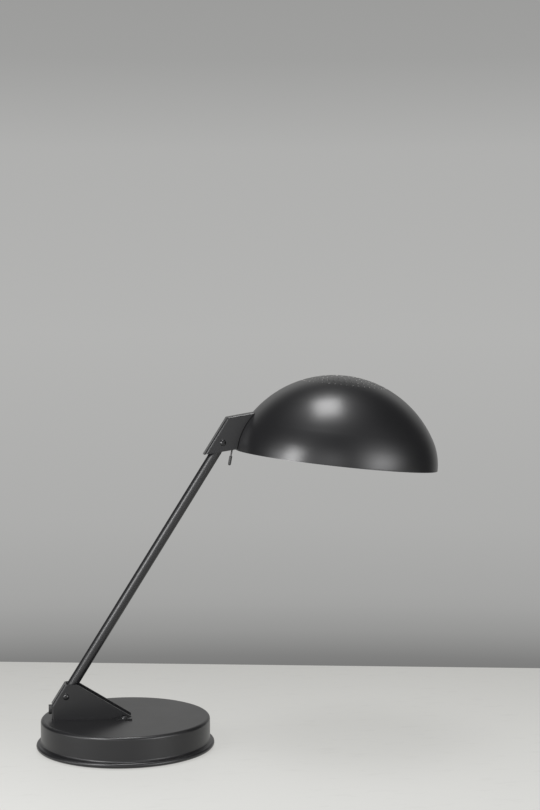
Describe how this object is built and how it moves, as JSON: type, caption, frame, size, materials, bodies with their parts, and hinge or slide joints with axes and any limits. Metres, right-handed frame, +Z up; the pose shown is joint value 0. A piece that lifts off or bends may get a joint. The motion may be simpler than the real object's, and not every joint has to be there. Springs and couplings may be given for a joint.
{
  "type": "dome shade desk lamp",
  "caption": "Desk lamp with a weighted round base, a leaning tube arm pinned in folded brackets, a vented dome shade that tilts, and a toggle switch at the back of the shade.",
  "frame": {"origin": "centre of the base's underside, on the table", "axes": "+X the side the arm leans to and the shade hangs over, +Z up, +Y across the lamp, along its pivots"},
  "size_m": [0.4056, 0.206, 0.3716],
  "materials": {
    "black_paint": "satin black powder coat",
    "shade_paint": "satin black outside, white enamel inside",
    "cast_iron": "as cast",
    "steel": "zinc plated",
    "dark_steel": "black oxide",
    "black_screw": "black oxide",
    "felt": "felt",
    "black_rubber": "moulded",
    "nylon": "natural nylon",
    "lead_jacket": "PVC jacket",
    "brass": "bare brass",
    "phenolic": "moulded phenolic",
    "brown_board": "laminated board",
    "bulb_glass": "frosted white glass",
    "cap_metal": "bare aluminium",
    "black_glass": "black glass",
    "nickel": "nickel plated",
    "sleeve_plastic": "moulded"
  },
  "bodies": {
    "base": {"base_cover": "black_paint", "cast_weight": "cast_iron", "bottom_plate": "steel", "felt_pad": "felt", "plate_screws": "steel", "base_bracket": "black_paint", "bracket_screws": "black_screw", "cord_bushing": "black_rubber", "lower_pivot_screw": "black_screw", "lower_pivot_washers": "nylon", "lower_pivot_nut": "steel"},
    "arm": {"arm_tube": "black_paint", "lower_knuckle": "dark_steel", "upper_knuckle": "dark_steel", "arm_lead": "lead_jacket"},
    "head": {"head_bracket": "black_paint", "upper_pivot_screw": "black_screw", "upper_pivot_washers": "nylon", "upper_pivot_nut": "steel", "shade": "shade_paint", "shade_screws": "steel", "shade_nuts": "steel", "lead_grommet": "black_rubber", "shade_lead": "lead_jacket", "holder_strap": "steel", "holder_nipple": "brass", "holder_nut": "brass", "holder_body": "phenolic", "holder_core": "brown_board", "holder_thread": "brass", "holder_contact": "brass", "bulb_glass": "bulb_glass", "bulb_cap": "cap_metal", "bulb_insulator": "black_glass", "switch_case": "phenolic", "switch_bushing": "nickel", "switch_nut": "nickel", "switch_tags": "brass"},
    "lever": {"switch_lever": "nickel", "lever_sleeve": "sleeve_plastic"}
  },
  "joints": [
    {"name": "arm_tilt", "type": "hinge", "parent": "base", "child": "arm", "pos_m": [-0.0595, 0, 0.0535], "axis": [0, 1, 0], "range_deg": [0, 35]},
    {"name": "shade_tilt", "type": "hinge", "parent": "arm", "child": "head", "pos_m": [0.09736, 0, 0.30452], "axis": [0, -1, 0], "range_deg": [-34, 7]},
    {"name": "switch_throw", "type": "hinge", "parent": "head", "child": "lever", "pos_m": [0.10811, 0, 0.29983], "axis": [0, -1, 0], "range_deg": [0, 26]}
  ]
}
